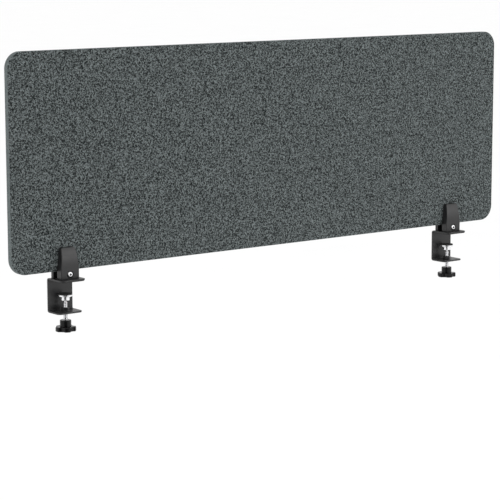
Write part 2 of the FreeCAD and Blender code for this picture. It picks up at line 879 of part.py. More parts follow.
def clamp_knob(start):
    """Star knob moulded on the screw: a scalloped disc with a hub above."""
    piece = start("clamp_knob")
    disc = piece.sketch("star_disc_view", "XY", on_clamp_axis(-dim.star_low))
    circle(disc, dim.star_rad)
    star_tall = dim.star_low - dim.star_top
    piece.pad(disc, star_tall, "star_disc")

    # scallops lie halfway between the lobes
    scallops = piece.sketch("scallop_view", "XY", on_clamp_axis(-dim.star_low))
    for i in range(LOBES):
        past_lobe = 360.0 / LOBES * (i + 0.5)
        angle = math.radians(dim.lobe_angle.value + past_lobe)
        turn = "(%s + %.1f) * pi / 180 * 1 rad" % (dim.lobe_angle.text, past_lobe)
        circle(
            scallops,
            dim.scallop_rad,
            dim.scallop_at * Size(math.cos(angle), "cos(%s)" % turn),
            dim.scallop_at * Size(math.sin(angle), "sin(%s)" % turn),
        )
    piece.pocket(scallops, star_tall + OVERCUT, "scallops", reverse=True)
    piece.fillet(dim.star_round, "lobe_tips", lambda edge: along(edge, "z"))
    piece.fillet(dim.star_rim_round, "star_rims", level)

    # the hub starts inside the star so that the two fuse
    hub_low = -dim.star_top - dim.hub_sink
    hub = piece.sketch("hub_view", "XY", on_clamp_axis(hub_low))
    circle(hub, dim.hub_rad)
    piece.pad(hub, dim.star_top - dim.hub_top + dim.hub_sink, "hub")
    top_z = -dim.hub_top.value
    piece.fillet(
        dim.hub_round,
        "hub_rim",
        lambda edge: near(middle(edge).z, top_z) and level(edge),
    )
    bore = piece.sketch("knob_bore_view", "XY", on_clamp_axis(-dim.screw_end))
    circle(bore, dim.clamp_rad)
    length = dim.screw_end - dim.hub_top + OVERCUT
    piece.pocket(bore, length, "knob_bore", reverse=True)


# ---------------------------------------------------------------- assembly
def clamp(side, centre):
    """All the pieces of one clamp, centred at x = centre."""
    made = []

    def start(name):
        piece = Piece(name, side + "_", centre)
        made.append(piece)
        return piece

    clamp_bracket(start)
    desk_pad(start)
    front_jaw(start)
    rear_jaw(start)
    jaw_pad(start, "front_jaw_pad", -1)
    jaw_pad(start, "rear_jaw_pad", 1)
    jaw_fixing_screws(start)
    weld_nut(start)
    support_sleeve(start)
    jaw_screw(start)
    ball_seat(start)
    pressure_pad(start)
    pressure_pad_rubber(start)
    clamp_screw(start)
    clamp_knob(start)
    return made


pieces = [acoustic_panel()]
pieces += clamp("left", dim.left_centre)
pieces += clamp("right", dim.right_centre)

# ---------------------------------------------------------------- check, write
doc.recompute()
for obj in doc.Objects:
    if "Invalid" in obj.State or "Error" in obj.State:
        raise RuntimeError("%s is %s" % (obj.Label, obj.State))
for piece in pieces:
    shape = piece.body.Shape
    if shape.isNull() or not shape.isValid() or not shape.Solids:
        raise RuntimeError("bad shape: " + piece.body.Label)
os.makedirs("parts", exist_ok=True)
for piece in pieces:
    piece.body.Shape.exportStep("parts/%s.step" % piece.body.Label)
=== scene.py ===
# Felt desk screen held by a left and a right clamp with screws and welded nuts.
# X runs along the board (left is -X), -Y is the front, and Z is up from the desk surface.
# The board, screws and nuts are modelled here; the other pieces keep their CAD meshes.
import json
import math

import bmesh
import bpy
import numpy as np
from mathutils import Matrix, Vector

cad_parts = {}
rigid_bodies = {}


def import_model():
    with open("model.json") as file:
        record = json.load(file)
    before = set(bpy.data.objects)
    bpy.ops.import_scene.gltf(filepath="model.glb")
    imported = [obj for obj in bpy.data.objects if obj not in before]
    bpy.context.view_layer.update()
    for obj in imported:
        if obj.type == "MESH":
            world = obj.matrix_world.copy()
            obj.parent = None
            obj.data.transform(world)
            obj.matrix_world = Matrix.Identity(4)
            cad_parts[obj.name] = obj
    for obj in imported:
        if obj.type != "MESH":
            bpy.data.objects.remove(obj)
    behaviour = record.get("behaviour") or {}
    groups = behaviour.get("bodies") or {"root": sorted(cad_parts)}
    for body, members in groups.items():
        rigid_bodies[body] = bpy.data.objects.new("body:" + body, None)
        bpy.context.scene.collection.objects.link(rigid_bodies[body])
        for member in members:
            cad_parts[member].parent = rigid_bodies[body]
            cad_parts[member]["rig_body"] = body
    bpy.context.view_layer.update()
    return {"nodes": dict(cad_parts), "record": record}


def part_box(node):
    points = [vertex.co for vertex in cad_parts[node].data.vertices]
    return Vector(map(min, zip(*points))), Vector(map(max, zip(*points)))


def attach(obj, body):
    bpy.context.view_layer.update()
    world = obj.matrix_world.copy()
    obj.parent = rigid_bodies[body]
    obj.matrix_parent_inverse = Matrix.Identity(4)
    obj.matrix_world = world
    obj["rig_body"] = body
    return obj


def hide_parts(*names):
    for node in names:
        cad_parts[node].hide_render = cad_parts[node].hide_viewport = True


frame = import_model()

SCENE = bpy.context.scene
NODES = frame["nodes"]
SLOT = {part["node"]: part["material_slot"] for part in frame["record"]["subparts"]}
SIDES = ("left", "right")
FLOOR_Z = -0.74  # the room's floor, a desk's height below the desk surface


# ================================================================ node helpers
class Tree:
    """A short way to write a material's node tree."""

    def __init__(self, name):
        self.material = bpy.data.materials.new(name)
        self.material.use_nodes = True
        self.node_tree = self.material.node_tree
        self.next_x = -300

    def put(self, socket, value):
        """Link a socket or set a value; colours are given as three numbers."""
        if isinstance(value, bpy.types.NodeSocket):
            self.node_tree.links.new(value, socket)
        elif socket.type == "RGBA":
            socket.default_value = (*value, 1)
        else:
            socket.default_value = value

    def node(self, kind, props=None, **inputs):
        """Add a node; an input's name has underscores for its spaces."""
        node = self.node_tree.nodes.new(kind)
        node.location = (self.next_x, 0)
        self.next_x -= 40
        for key, value in (props or {}).items():
            setattr(node, key, value)
        for key, value in inputs.items():
            self.put(node.inputs[key.replace("_", " ")], value)
        return node

    def coords(self):
        return self.node("ShaderNodeTexCoord").outputs["Object"]

    def surface_normal(self):
        return self.node("ShaderNodeNewGeometry").outputs["Normal"]

    def mapping(self, vector, scale=(1, 1, 1), rotation=(0, 0, 0), location=(0, 0, 0)):
        node = self.node(
            "ShaderNodeMapping",
            Vector=vector, Scale=scale, Rotation=rotation, Location=location,
        )
        return node.outputs["Vector"]

    def noise(self, vector, scale, detail=2.0, roughness=0.5, distortion=0.0, output="Fac"):
        node = self.node(
            "ShaderNodeTexNoise",
            Vector=vector, Scale=scale, Detail=detail,
            Roughness=roughness, Distortion=distortion,
        )
        return node.outputs[output]

    def indexed(self, kind, props, values):
        """Add a node whose inputs share a name, filling them in order."""
        node = self.node(kind, props)
        for socket, value in zip(node.inputs, values):
            self.put(socket, value)
        return node

    def math(self, operation, *values, clamp=False):
        props = {"operation": operation, "use_clamp": clamp}
        return self.indexed("ShaderNodeMath", props, values).outputs[0]

    def vector_math(self, operation, *vectors):
        return self.indexed("ShaderNodeVectorMath", {"operation": operation}, vectors)

    def total(self, first, *rest):
        for value in rest:
            first = self.math("ADD", first, value)
        return first

    def weigh(self, value, weight):
        return self.math("MULTIPLY", value, weight)

    def centred(self, value, span):
        """Stretch 0..1 to a span centred on zero."""
        return self.math("MULTIPLY_ADD", value, span, -span / 2)

    def displaced(self, vector, scale, detail, reach):
        """Coordinates pushed about by a coloured noise."""
        push = self.noise(vector, scale=scale, detail=detail, output="Color")
        return self.vector_math("MULTIPLY_ADD", push, (reach,) * 3, vector).outputs[0]

    def ramp(self, fac, stops):
        """Colour ramp; stops are (position, colour)."""
        node = self.node("ShaderNodeValToRGB", Fac=fac)
        elements = node.color_ramp.elements
        while len(elements) < len(stops):
            elements.new(0.5)
        for element, (position, colour) in zip(elements, stops):
            element.position = position
            element.color = (*colour, 1)
        return node.outputs["Color"]

    def remap(self, value, source, to):
        node = self.node(
            "ShaderNodeMapRange",
            Value=value, From_Min=source[0], From_Max=source[1], To_Min=to[0], To_Max=to[1],
        )
        return node.outputs["Result"]

    def mix(self, factor, under, over):
        node = self.node("ShaderNodeMix", {"data_type": "RGBA"}, Factor=factor)
        # inputs 6 and 7 and output 2 are the node's colour sockets
        self.put(node.inputs[6], under)
        self.put(node.inputs[7], over)
        return node.outputs[2]

    def bump(self, height, strength, distance, **normal):
        node = self.node(
            "ShaderNodeBump", Strength=strength, Distance=distance, Height=height, **normal
        )
        return node.outputs["Normal"]

    def rounded(self, radius):
        """Normal as if the edges were rounded."""
        return self.node("ShaderNodeBevel", {"samples": 4}, Radius=radius).outputs["Normal"]

    def edge(self, rounded):
        """0 on flats, towards 1 at edges: how far the rounded normal leans."""
        dot = self.vector_math("DOT_PRODUCT", rounded, self.surface_normal())
        return self.math("SUBTRACT", 1.0, dot.outputs["Value"], clamp=True)

    def openness(self, distance, only_local=False):
        """1 in the open, towards 0 in hollows."""
        props = {"samples": 6, "only_local": only_local}
        node = self.node("ShaderNodeAmbientOcclusion", props, Distance=distance)
        return node.outputs["AO"]

    def finish(self, **inputs):
        """Fill the Principled shader's inputs and return the material."""
        shader = self.node_tree.nodes["Principled BSDF"]
        for key, value in inputs.items():
            self.put(shader.inputs[key.replace("_", " ")], value)
        return self.material


# ================================================================ materials
def tufts(tree, vector, scale, shift):
    """One random value per cell."""
    cells = tree.node(
        "ShaderNodeTexVoronoi", Vector=tree.mapping(vector, location=shift), Scale=scale
    )
    split = tree.node("ShaderNodeSeparateColor", Color=cells.outputs["Color"])
    return split.outputs[0]


def strands(tree, vector, layers, length, width, threshold):
    """Thin curled fibres lying in several directions, 0 to 1; layers are (turn, seed)."""
    result = None
    for turn, seed in layers:
        layer = tree.mapping(vector, rotation=(0, turn, 0), location=(seed, seed * 0.3, -seed))
        layer = tree.mapping(layer, scale=(1 / length, 1 / width, 1 / width))
        fibres = tree.noise(layer, scale=1.0, detail=1.0, distortion=0.2)
        fibres = tree.remap(fibres, source=threshold, to=(0.0, 1.0))
        result = fibres if result is None else tree.math("MAXIMUM", result, fibres)
    return result


def felt_material():
    """Pressed felt: pale and dark staple fibres matted into small clumps."""
    tree = Tree("felt")
    coords = tree.coords()
    stirred = tree.displaced(coords, scale=620.0, detail=3.0, reach=0.0026)
    curled = tree.displaced(coords, scale=210.0, detail=1.0, reach=0.0050)

    big = tufts(tree, stirred, scale=540.0, shift=(0.0, 0.0, 0.0))
    small = tufts(tree, stirred, scale=1030.0, shift=(1.3, 0.4, 2.2))
    clump = tree.noise(curled, scale=325.0, roughness=0.6)
    fleck_coords = tree.mapping(coords, location=(3.1, 0.7, 1.9))
    fleck = tree.noise(fleck_coords, scale=1300.0, detail=4.0, roughness=0.7)
    pale = strands(
        tree, curled, layers=((0.35, 0.0), (1.15, 2.3), (1.95, 5.1), (2.75, 8.7)),
        length=0.0080, width=0.00055, threshold=(0.560, 0.620),
    )
    dark = strands(
        tree, curled, layers=((0.75, 11.0), (1.6, 12.5), (2.35, 14.2), (3.0, 17.7)),
        length=0.0076, width=0.00055, threshold=(0.560, 0.620),
    )
    fine = strands(
        tree, curled, layers=((0.15, 21.0), (1.35, 23.5), (2.15, 26.2)),
        length=0.0036, width=0.00024, threshold=(0.57, 0.66),
    )
    patch_coords = tree.mapping(coords, location=(5.0, 0, 7.0))
    patch = tree.noise(patch_coords, scale=38.0, detail=3.0, roughness=0.6)

    tone = tree.total(
        tree.centred(clump, span=3.0),
        tree.centred(big, span=0.36),
        tree.centred(small, span=0.30),
        tree.centred(fleck, span=0.9),
    )
    contrast = tree.remap(patch, source=(0.30, 0.70), to=(2.1, 4.0))
    tone = tree.math("MULTIPLY", tone, contrast)
    # soft ends, back in 0..1: no patch is ever quite one tone
    tone = tree.math("MULTIPLY_ADD", tree.math("TANH", tone), 0.5, 0.5)
    tone = tree.total(tone, tree.centred(fleck, span=0.36))
    # a few tufts that are nearly white or nearly black
    tone = tree.total(tone, tree.remap(big, source=(0.84, 0.95), to=(0.0, 0.32)))
    blackened = tree.remap(big, source=(0.18, 0.06), to=(0.0, 0.32))
    tone = tree.math("SUBTRACT", tone, blackened)
    colour = tree.ramp(
        tone,
        [
            (0.00, (0.0030, 0.0042, 0.0042)),
            (0.25, (0.0064, 0.0088, 0.0089)),
            (0.50, (0.0145, 0.0188, 0.0190)),
            (0.75, (0.0335, 0.0410, 0.0414)),
            (1.00, (0.0770, 0.0905, 0.0910)),
        ],
    )
    fine_cover = tree.weigh(fine, weight=0.50)
    colour = tree.mix(fine_cover, under=colour, over=(0.0240, 0.0308, 0.0310))
    # dark fibres show in dark felt, pale ones in pale felt
    more_dark = tree.remap(tone, source=(0.25, 0.75), to=(1.0, 0.02))
    more_pale = tree.remap(tone, source=(0.25, 0.75), to=(0.01, 0.95))
    dark_cover = tree.math("MULTIPLY", dark, more_dark)
    colour = tree.mix(dark_cover, under=colour, over=(0.0032, 0.0046, 0.0046))
    pale_cover = tree.math("MULTIPLY", pale, more_pale)
    colour = tree.mix(pale_cover, under=colour, over=(0.2110, 0.2380, 0.2395))
    height = tree.total(
        tree.weigh(clump, weight=0.6),
        tree.weigh(pale, weight=0.40),
        tree.weigh(dark, weight=0.34),
        tree.weigh(fine, weight=0.22),
        tree.weigh(fleck, weight=0.35),
    )
    # painted light: the cut edge is coloured paler than the faces, standing in for the light it
    # catches
    split = tree.node("ShaderNodeSeparateXYZ", Vector=tree.surface_normal())
    facing = tree.math("ABSOLUTE", split.outputs["Y"])
    cut = tree.remap(facing, source=(0.25, 0.85), to=(1.0, 0.0))
    colour = tree.mix(tree.weigh(cut, weight=0.65), under=colour, over=(0.142, 0.166, 0.166))
    return tree.finish(
        Base_Color=colour,
        Roughness=tree.remap(fleck, source=(0.3, 0.7), to=(0.86, 1.0)),
        Normal=tree.bump(height, strength=0.75, distance=0.00045),
        Specular_IOR_Level=0.2,
        Sheen_Weight=0.06,
        Sheen_Roughness=0.55,
        Sheen_Tint=(0.8, 0.9, 0.9),
    )


def coat_material():
    """Satin black powder coat: orange peel, fine grit, faintly rubbed edges."""
    tree = Tree("black_coat")
    coords = tree.coords()
    rounded = tree.rounded(radius=0.0006)
    peel = tree.noise(coords, scale=1150.0)
    grit = tree.noise(coords, scale=4200.0, roughness=0.6)
    smear = tree.noise(coords, scale=55.0, detail=3.0, roughness=0.6)
    scuff_coords = tree.mapping(coords, rotation=(0.3, 0.5, 0.2), scale=(1.0, 6.0, 1.0))
    scuff = tree.noise(scuff_coords, scale=120.0, detail=3.0, roughness=0.6)
    worn = tree.remap(tree.edge(rounded), source=(0.02, 0.22), to=(0.0, 1.0))
    patchy = tree.remap(smear, source=(0.42, 0.70), to=(0.05, 0.8))
    rub = tree.math("MULTIPLY", worn, patchy, clamp=True)
    colour = tree.mix(
        tree.remap(grit, source=(0.35, 0.65), to=(0.0, 1.0)),
        under=(0.0095, 0.0095, 0.0100), over=(0.0165, 0.0165, 0.0172),
    )
    roughness = tree.total(
        tree.remap(smear, source=(0.3, 0.7), to=(0.29, 0.38)),
        tree.remap(scuff, source=(0.45, 0.75), to=(0.0, 0.07)),
        tree.weigh(rub, weight=0.08),
    )
    height = tree.total(peel, tree.weigh(grit, weight=0.30))
    # hollows lose their highlights
    openness = tree.openness(distance=0.0035)
    return tree.finish(
        Base_Color=tree.mix(rub, under=colour, over=(0.070, 0.070, 0.072)),
        Roughness=roughness,
        Specular_IOR_Level=tree.remap(openness, source=(0.45, 0.90), to=(0.02, 0.43)),
        Normal=tree.bump(height, strength=0.42, distance=0.00005, Normal=rounded),
    )


def zinc_material():
    """Bright zinc plate: turning marks, blotchy passivation, painted shade in hollows."""
    tree = Tree("zinc_steel")
    coords = tree.coords()
    rounded = tree.rounded(radius=0.00025)
    blotch = tree.noise(coords, scale=320.0, detail=3.0, roughness=0.6)
    fine = tree.noise(tree.mapping(coords, scale=(1, 1, 9)), scale=2600.0)
    colour = tree.ramp(
        blotch,
        [(0.30, (0.76, 0.77, 0.79)), (0.55, (0.87, 0.87, 0.88)), (0.75, (0.92, 0.92, 0.92))],
    )
    # painted shade: the colour darkens towards near black where ambient occlusion finds a
    # hollow
    openness = tree.openness(distance=0.0018, only_local=True)
    painted_hollow_shade = tree.remap(openness, source=(0.15, 0.50), to=(1.0, 0.0))
    colour = tree.mix(tree.weigh(painted_hollow_shade, weight=0.75), under=colour, over=(0.045, 0.044, 0.042))
    # painted shade: the inside of the socket is coloured near black
    painted_socket_shade = tree.node("ShaderNodeAttribute", {"attribute_name": "painted_socket_shade"}).outputs["Fac"]
    colour = tree.mix(tree.weigh(painted_socket_shade, weight=0.93), under=colour, over=(0.020, 0.020, 0.021))
    roughness = tree.total(
        tree.remap(blotch, source=(0.3, 0.7), to=(0.21, 0.32)),
        tree.centred(fine, span=0.08),
        tree.weigh(painted_hollow_shade, weight=0.3),
        tree.weigh(painted_socket_shade, weight=0.22),
    )
    return tree.finish(
        Base_Color=colour,
        Metallic=1.0,
        Roughness=roughness,
        Normal=tree.bump(fine, strength=0.15, distance=0.00003, Normal=rounded),
    )


def plastic_material():
    """Glossy black moulding: faint flow marks, handling haze, rubbed edges."""
    tree = Tree("black_plastic")
    coords = tree.coords()
    rounded = tree.rounded(radius=0.0005)
    grain = tree.noise(coords, scale=1500.0, detail=3.0, roughness=0.6)
    flow = tree.noise(tree.mapping(coords, scale=(1, 1, 3)), scale=110.0, distortion=0.6)
    haze = tree.noise(coords, scale=70.0, detail=3.0, roughness=0.55)
    worn = tree.remap(tree.edge(rounded), source=(0.03, 0.3), to=(0.0, 1.0))
    patchy = tree.remap(haze, source=(0.45, 0.7), to=(0.0, 0.7))
    rub = tree.math("MULTIPLY", worn, patchy, clamp=True)
    colour = tree.mix(
        tree.remap(haze, source=(0.35, 0.7), to=(0.0, 1.0)),
        under=(0.0022, 0.0022, 0.0024), over=(0.0042, 0.0042, 0.0045),
    )
    roughness = tree.total(
        tree.remap(haze, source=(0.3, 0.7), to=(0.16, 0.25)),
        tree.weigh(rub, weight=0.15),
    )
    height = tree.total(tree.weigh(grain, weight=0.35), flow)
    return tree.finish(
        Base_Color=tree.mix(rub, under=colour, over=(0.030, 0.030, 0.031)),
        Roughness=roughness,
        Specular_IOR_Level=0.22,
        Normal=tree.bump(height, strength=0.16, distance=0.00006, Normal=rounded),
    )


def rubber_material():
    """Matt black rubber with a fine grain and a little dust."""
    tree = Tree("black_rubber")
    coords = tree.coords()
    rounded = tree.rounded(radius=0.0003)
    grain = tree.noise(coords, scale=1900.0, detail=4.0, roughness=0.65)
    dust = tree.noise(coords, scale=130.0, detail=3.0, roughness=0.6)
    colour = tree.mix(
        tree.remap(dust, source=(0.45, 0.75), to=(0.0, 0.7)),
        under=(0.012, 0.012, 0.012), over=(0.036, 0.035, 0.034),
    )
    return tree.finish(
        Base_Color=colour,
        Roughness=tree.remap(dust, source=(0.3, 0.7), to=(0.68, 0.86)),
        Specular_IOR_Level=0.35,
        Normal=tree.bump(grain, strength=0.4, distance=0.00008, Normal=rounded),
    )


def nylon_material():
    """Slightly translucent off-white nylon."""
    tree = Tree("white_nylon")
    coords = tree.coords()
    rounded = tree.rounded(radius=0.0004)
    cloud = tree.noise(coords, scale=240.0, detail=3.0, roughness=0.55)
    grain = tree.noise(coords, scale=2400.0)
    return tree.finish(
        Base_Color=tree.mix(cloud, under=(0.70, 0.69, 0.64), over=(0.80, 0.79, 0.75)),
        Roughness=tree.remap(cloud, source=(0.3, 0.7), to=(0.34, 0.46)),
        Subsurface_Weight=0.15,
        Subsurface_Scale=0.002,
        Normal=tree.bump(grain, strength=0.2, distance=0.00004, Normal=rounded),
    )


MATERIALS = {
    "felt_dark_grey": felt_material(),
    "black_coat": coat_material(),
    "zinc_steel": zinc_material(),
    "black_plastic": plastic_material(),
    "black_rubber": rubber_material(),
    "white_nylon": nylon_material(),
}

for node_name, cad_object in NODES.items():
    cad_object.data.materials.clear()
    cad_object.data.materials.append(MATERIALS[SLOT[node_name]])


# ================================================================ object helpers
def link(name, data):
    obj = bpy.data.objects.new(name, data)
    SCENE.collection.objects.link(obj)
    return obj


def make_object(name, verts, faces, sharp_angle=None):
    """Smooth-shaded mesh object; edges steeper than sharp_angle (degrees) stay sharp."""
    mesh = bpy.data.meshes.new(name)
    mesh.from_pydata(np.array(verts).tolist(), [], faces)
    mesh.validate()
    bm = bmesh.new()
    bm.from_mesh(mesh)
    bmesh.ops.recalc_face_normals(bm, faces=bm.faces)
    bm.to_mesh(mesh)
    bm.free()
    mesh.shade_smooth()
    if sharp_angle is not None:
        mesh.set_sharp_from_angle(angle=math.radians(sharp_angle))
    return link(name, mesh)


def adopt(obj, node):
    """obj stands for a CAD node: same body, same material slot."""
    slot = SLOT[node]
    obj.data.materials.append(MATERIALS[slot])
    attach(obj, NODES[node]["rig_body"])
    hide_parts(node)


def middle(lo, hi):
    return np.array(((lo.x + hi.x) / 2, (lo.y + hi.y) / 2, (lo.z + hi.z) / 2))


# ================================================================ felt board
CORNER_RADIUS = 0.030
EDGE_ROUND = 0.0011  # rounding between a face and the cut edge
GRID_PITCH = 0.002
FIELD_STEP = 0.001  # grid of the random fields
# grid lines near the rim, as distances in from it
RIM_STOPS = [0.0, 0.00018, 0.00042, 0.00075, 0.00115, 0.0017, 0.0026, 0.0040]
# unevenness of the faces: wavelength, height
FACE_WAVES = ((0.060, 0.00007), (0.009, 0.00005), (0.0035, 0.00005))
PRESS_HALF_WIDTH = 0.0205  # pressed patch, either side of a pad's middle
PRESS_ABOVE_PAD = 0.0060
PRESS_FADE = 0.004
PRESS_DEPTH = 0.00010
CUT_ROWS = 7  # bands of faces through the thickness
CUT_CROWN = 0.00022


def smooth_field(random, columns, rows, step, wavelength):
    """Random field on a grid of the given step, blurred to a wavelength."""
    field = random.standard_normal((columns, rows))
    freq_x = np.fft.fftfreq(columns, step)[:, None]
    freq_z = np.fft.rfftfreq(rows, step)[None, :]
    sigma = wavelength / 2.5
    blur = np.exp(-2 * (math.pi * sigma) ** 2 * (freq_x ** 2 + freq_z ** 2))
    field = np.fft.irfft2(np.fft.rfft2(field) * blur, s=(columns, rows))
    return field / field.std()


def sample(field, x, z, step):
    """Bilinear lookup at distances x, z from the field's corner."""
    i = np.clip(x / step, 0, field.shape[0] - 1.001)
    j = np.clip(z / step, 0, field.shape[1] - 1.001)
    i0, j0 = i.astype(int), j.astype(int)
    part_i, part_j = i - i0, j - j0
    return (
        field[i0, j0] * (1 - part_i) * (1 - part_j)
        + field[i0 + 1, j0] * part_i * (1 - part_j)
        + field[i0, j0 + 1] * (1 - part_i) * part_j
        + field[i0 + 1, j0 + 1] * part_i * part_j
    )


def even_stops(start, end):
    return np.linspace(start, end, int(round((end - start) / GRID_PITCH)) + 1)


def line_stops(length):
    """Grid lines along one side: fine at the rim, then even."""
    corner = RIM_STOPS + list(even_stops(RIM_STOPS[-1], CORNER_RADIUS)[1:])
    inner = even_stops(CORNER_RADIUS, length - CORNER_RADIUS)[1:-1]
    return np.array(corner + list(inner) + [length - stop for stop in corner[::-1]])


def board_grid(width, height):
    """Grid of one face about its centre, bent round the corners: x, z, distance to the rim."""
    x, z = np.meshgrid(line_stops(width), line_stops(height), indexing="ij")
    x, z = x - width / 2, z - height / 2
    flat_x, flat_z = width / 2 - CORNER_RADIUS, height / 2 - CORNER_RADIUS
    # 0..1 through a corner square, then mapped from the square to a disc
    past_x = np.clip((np.abs(x) - flat_x) / CORNER_RADIUS, 0, 1)
    past_z = np.clip((np.abs(z) - flat_z) / CORNER_RADIUS, 0, 1)
    corner = (past_x > 0) & (past_z > 0)
    disc_x = np.where(corner, past_x * np.sqrt(1 - past_z * past_z / 2), past_x)
    disc_z = np.where(corner, past_z * np.sqrt(1 - past_x * past_x / 2), past_z)
    x = np.where(past_x > 0, np.sign(x) * (flat_x + CORNER_RADIUS * disc_x), x)
    z = np.where(past_z > 0, np.sign(z) * (flat_z + CORNER_RADIUS * disc_z), z)
    to_rim = np.where(
        corner,
        CORNER_RADIUS * (1 - np.sqrt(disc_x ** 2 + disc_z ** 2)),
        np.minimum(width / 2 - np.abs(x), height / 2 - np.abs(z)),
    )
    return x, z, np.clip(to_rim, 0, None)


def face_relief(random, x, z, width, height, centre, face):
    """How far the felt stands proud of one face of the board."""
    columns, rows = int(width / FIELD_STEP) + 3, int(height / FIELD_STEP) + 3
    field = sum(
        smooth_field(random, columns, rows, FIELD_STEP, wavelength) * amount
        for wavelength, amount in FACE_WAVES
    )
    relief = sample(field, x + width / 2, z + height / 2, FIELD_STEP)
    # where a jaw's grip pad presses, the felt is flat and slightly sunk
    for side in SIDES:
        pad_lo, pad_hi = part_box(f"{side}_{face}_jaw_pad")
        pad_x = (pad_lo.x + pad_hi.x) / 2
        press_top = pad_hi.z + PRESS_ABOVE_PAD
        beside = np.maximum(np.abs(x + centre[0] - pad_x) - PRESS_HALF_WIDTH, 0)
        over = np.maximum((z + centre[2]) - press_top, 0)
        hold = np.clip(1 - np.sqrt(beside ** 2 + over ** 2) / PRESS_FADE, 0, 1)
        hold = hold * hold * (3 - 2 * hold)
        relief = relief * (1 - hold) - PRESS_DEPTH * hold
    # the strip that slides between the jaws, up to the right pad's patch, stays free of
    # proud lumps; the limit eases off over the next 12 mm
    above = np.clip(((z + centre[2]) - press_top) / 0.012, 0, 1)
    return np.minimum(relief, 0.00003 + 0.0006 * above)


def cut_edge_rows(random, rim, centre, thickness):
    """Rows of points between the two faces, slightly crowned and rough."""
    count = len(rim)
    tangent = np.roll(rim, -1, 0) - np.roll(rim, 1, 0)
    outward = np.stack([tangent[:, 2], np.zeros(count), -tangent[:, 0]], 1)
    outward /= np.linalg.norm(outward, axis=1)[:, None] + 1e-12
    outward *= np.sign(((rim - centre) * outward).sum(1))[:, None]
    rough = smooth_field(random, count, CUT_ROWS + 1, step=0.002, wavelength=0.005) * 0.00006
    front, back = -(thickness / 2 - EDGE_ROUND), thickness / 2 - EDGE_ROUND
    rows = []
    for k in range(1, CUT_ROWS):
        part = k / CUT_ROWS
        crown = CUT_CROWN * math.sin(math.pi * part)
        row = rim.copy()
        row[:, 1] = centre[1] + front + (back - front) * part
        row += outward * (crown - CUT_CROWN + rough[:, k])[:, None]
        rows.append(row)
    return rows


def felt_board():
    lo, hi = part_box("acoustic_panel")
    width, height, thickness = hi.x - lo.x, hi.z - lo.z, hi.y - lo.y
    centre = middle(lo, hi)
    x, z, to_rim = board_grid(width, height)
    into_round = np.clip(EDGE_ROUND - to_rim, 0, EDGE_ROUND)
    round_height = np.sqrt(np.clip(EDGE_ROUND * EDGE_ROUND - into_round * into_round, 0, None))
    sink = EDGE_ROUND - round_height
    fade = np.clip(to_rim / 0.002, 0, 1)  # no relief at the rim, all of it 2 mm in
    random = np.random.default_rng(1204)
    verts = []
    for sign, face in ((-1, "front"), (1, "rear")):
        relief = face_relief(random, x, z, width, height, centre, face)
        y = sign * (thickness / 2 - sink + relief * fade)
        verts.append(np.stack([x.ravel(), y.ravel(), z.ravel()], 1) + centre)

    ids = np.arange(x.size).reshape(x.shape)
    corners = (ids[:-1, :-1], ids[1:, :-1], ids[1:, 1:], ids[:-1, 1:])
    quads = np.stack([corner.ravel() for corner in corners], 1)
    faces = [quads, quads[:, ::-1] + x.size]

    outline = np.concatenate([ids[:-1, 0], ids[-1, :-1], ids[:0:-1, -1], ids[0, :0:-1]])
    count = len(outline)
    verts += cut_edge_rows(random, verts[0][outline], centre, thickness)
    rows = [outline]
    rows += [np.arange(count) + 2 * x.size + k * count for k in range(CUT_ROWS - 1)]
    rows.append(outline + x.size)
    for row, after in zip(rows[:-1], rows[1:]):
        faces.append(np.stack([row, after, np.roll(after, -1), np.roll(row, -1)], 1))
    board = make_object("felt_board", np.concatenate(verts), np.concatenate(faces).tolist())
    adopt(board, "acoustic_panel")


felt_board()


# ================================================================ screws, nuts
def ridge(phase):
    """0 at a thread's root, 1 on its crest, with soft corners."""
    rise = 1 - np.abs(2 * np.mod(phase, 1.0) - 1)
    rise = np.clip((rise - 0.20) / 0.66, 0, 1)
    return 0.5 * rise + 0.5 * rise * rise * (3 - 2 * rise)


class Rod:
    """Closed rings set along an axis through the middle of a box."""

    def __init__(self, lo, hi, axis, across, segments):
        self.axis = np.array(axis, float)
        self.across = np.array(across, float)
        self.third = np.cross(self.axis, self.across)
        self.base = middle(lo, hi) * (1 - self.axis)
        self.segments = segments
        self.angle = 2 * math.pi * np.arange(segments) / segments
        self.rings = []

    def ring(self, along, radii):
        """Add a ring; radii is one number or one per segment."""
        self.rings.append(
            self.base + self.axis * along
            + (np.cos(self.angle) * radii)[:, None] * self.across
            + (np.sin(self.angle) * radii)[:, None] * self.third
        )

    def hexagon(self, flats):
        """Radii of a hexagon, measured across its flats."""
        return flats / 2 / np.cos(np.mod(self.angle, math.pi / 3) - math.pi / 6)

    def thread(self, start, end, crest, limit, pitch, depth, run_in, taper):
        """Right-handed thread, deepening over run_in; limit narrows along the last taper."""
        turn = np.arange(self.segments) / self.segments
        count = int(round((end - start) / (pitch / 12)))
        for s in np.linspace(start, end, count + 1):
            cut = depth * min(1.0, (s - start) / run_in)
            radii = crest - cut * (1 - ridge(s / pitch - turn))
            self.ring(s, np.minimum(radii, limit - max(0.0, s - (end - taper))))

    def bands(self, closed=False):
        """Faces between neighbouring rings; closed joins the last to the first."""
        n, count = self.segments, len(self.rings)
        faces = []
        for k in range(count if closed else count - 1):
            a, b = k * n, (k + 1) % count * n
            for i in range(n):
                j = (i + 1) % n
                faces.append((a + i, a + j, b + j, b + i))
        return faces

    def solid(self, first_centre, last_centre):
        """Points and faces, each end fanned to a centre at the given place along the axis."""
        n = self.segments
        verts = [point for ring in self.rings for point in ring]
        verts += [self.base + self.axis * along for along in (first_centre, last_centre)]
        first, last = len(verts) - 2, len(verts) - 1
        end = (len(self.rings) - 1) * n
        faces = self.bands()
        faces += [(first, (i + 1) % n, i) for i in range(n)]
        faces += [(last, end + i, end + (i + 1) % n) for i in range(n)]
        return verts, faces


